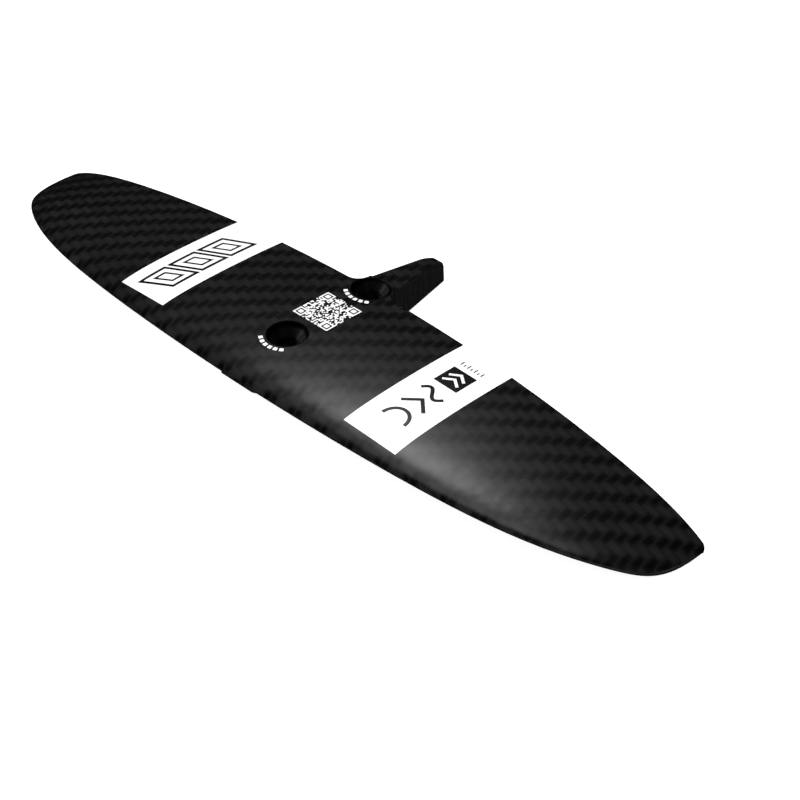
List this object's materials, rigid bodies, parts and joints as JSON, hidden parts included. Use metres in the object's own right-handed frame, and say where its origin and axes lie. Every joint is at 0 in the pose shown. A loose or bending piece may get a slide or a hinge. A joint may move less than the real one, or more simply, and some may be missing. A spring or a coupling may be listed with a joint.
{
  "type": "hydrofoil rear stabiliser wing",
  "caption": "Carbon rear wing of a hydrofoil: drooped squared tips, mounting pad with countersunk screw holes, and a tapered tail fairing.",
  "frame": {"origin": "on the flat seat face of the pad, midway between the two screw axes", "axes": "+X is the starboard span, +Y points aft to the tail fairing, +Z is the cambered side, where the screws go in"},
  "size_m": [0.275, 0.0878, 0.0163],
  "materials": {
    "twill": "clear-lacquered two by two carbon twill",
    "seat": "smooth moulded black epoxy and chopped carbon",
    "unidirectional": "cured unidirectional carbon",
    "foam": "rigid structural foam",
    "block": "solid cured carbon laminate",
    "white_film": "white printed film under lacquer",
    "black_film": "black printed film under lacquer"
  },
  "bodies": {
    "root": {"upper_skin": "twill", "lower_skin": "twill", "front_screw_seat": "seat", "rear_screw_seat": "seat", "upper_spar_cap": "unidirectional", "lower_spar_cap": "unidirectional", "leading_roving_port": "unidirectional", "leading_roving_starboard": "unidirectional", "trailing_filler_port": "unidirectional", "trailing_filler_starboard": "unidirectional", "core_port": "foam", "core_starboard": "foam", "centre_block": "block", "tail_core": "block", "band_film_port": "white_film", "band_film_starboard": "white_film", "patch_film": "black_film", "front_screw_mark": "white_film", "rear_screw_mark": "white_film"}
  },
  "joints": []
}
